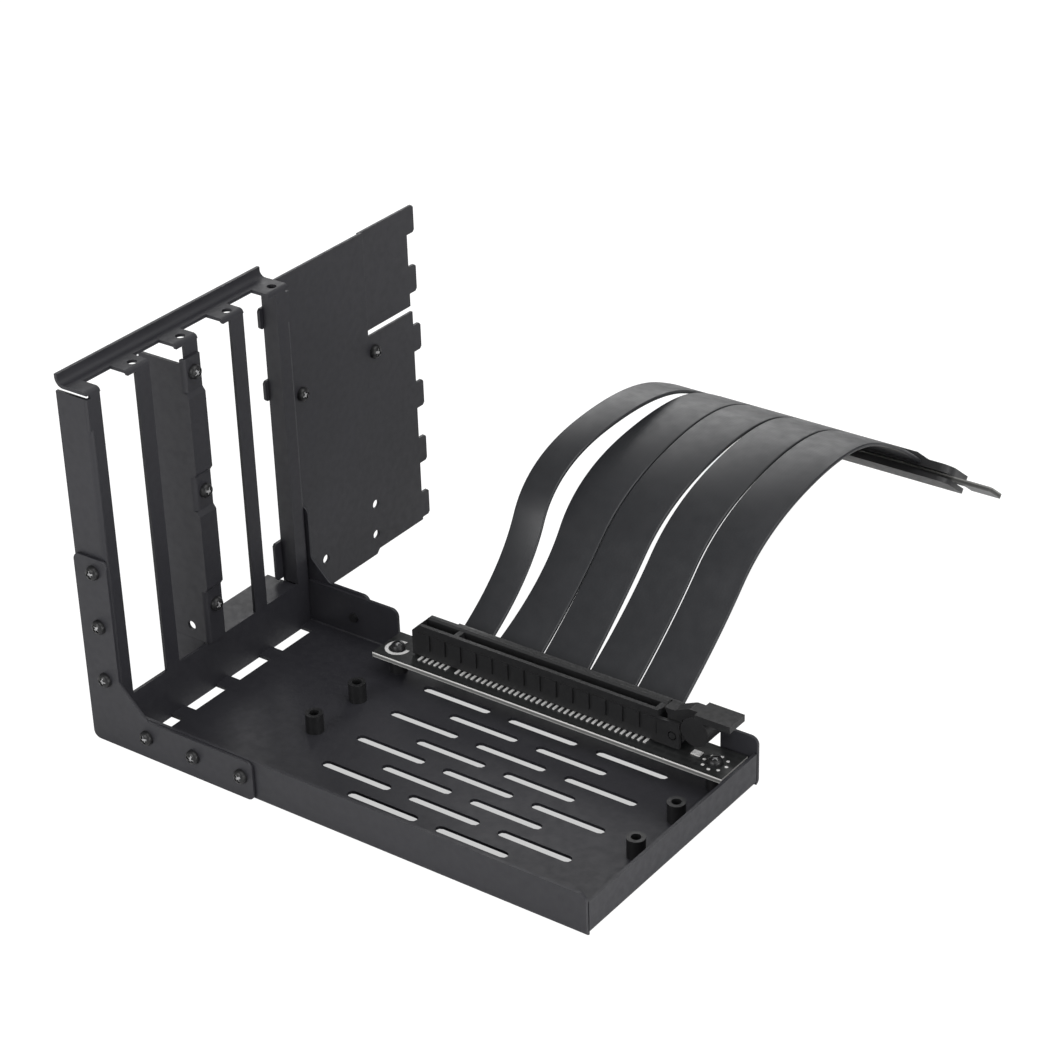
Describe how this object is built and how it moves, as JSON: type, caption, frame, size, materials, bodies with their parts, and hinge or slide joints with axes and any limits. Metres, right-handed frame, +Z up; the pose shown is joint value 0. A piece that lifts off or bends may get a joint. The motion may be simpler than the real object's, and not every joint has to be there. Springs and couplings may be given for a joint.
{
  "type": "vertical gpu bracket",
  "caption": "Folded steel tray and slot frame that holds a graphics card upright, with a card slot on a riser board and a flat ribbon cable to a plug.",
  "frame": {"origin": "middle of the tray's underside", "axes": "+Z up, +X from the slot frame along the tray, +Y from the front flange to the rear where the cable leaves"},
  "size_m": [0.1818, 0.2503, 0.1198],
  "materials": {
    "black_coated_steel": "fine black powder coat",
    "black_screws": "black oxide",
    "black_standoffs": "black oxide",
    "circuit_board": "black solder mask",
    "slot_plastic": "moulded black plastic",
    "plug_plastic": "moulded black plastic",
    "contacts": "tinned",
    "ribbon_jacket": "satin black jacket"
  },
  "bodies": {
    "bracket": {"tray": "black_coated_steel", "slot_frame": "black_coated_steel", "divider_strip": "black_coated_steel", "adapter_plate": "black_coated_steel", "front_gusset": "black_coated_steel", "rear_gusset": "black_coated_steel", "divider_screws": "black_screws", "plate_screws": "black_screws", "front_gusset_screws": "black_screws", "rear_gusset_screws": "black_screws", "riser_screws": "black_screws", "riser_standoffs": "black_standoffs", "board_standoffs": "black_standoffs", "riser_board": "circuit_board", "plug_board": "circuit_board", "slot_housing": "slot_plastic", "slot_contacts_front": "contacts", "slot_contacts_rear": "contacts", "ribbon_clamp": "plug_plastic", "plug_cover_upper": "plug_plastic", "plug_cover_lower": "plug_plastic", "ribbon_1": "ribbon_jacket", "ribbon_2": "ribbon_jacket", "ribbon_3": "ribbon_jacket", "ribbon_4": "ribbon_jacket", "ribbon_5": "ribbon_jacket"},
    "latch": {"slot_latch": "slot_plastic"}
  },
  "joints": [
    {"name": "latch_pivot", "type": "hinge", "parent": "bracket", "child": "latch", "pos_m": [0.05955, 0.0371, 0.0132], "axis": [0, 1, 0], "range_deg": [0, 20], "stiffness_Nm_per_rad": 0.05}
  ]
}
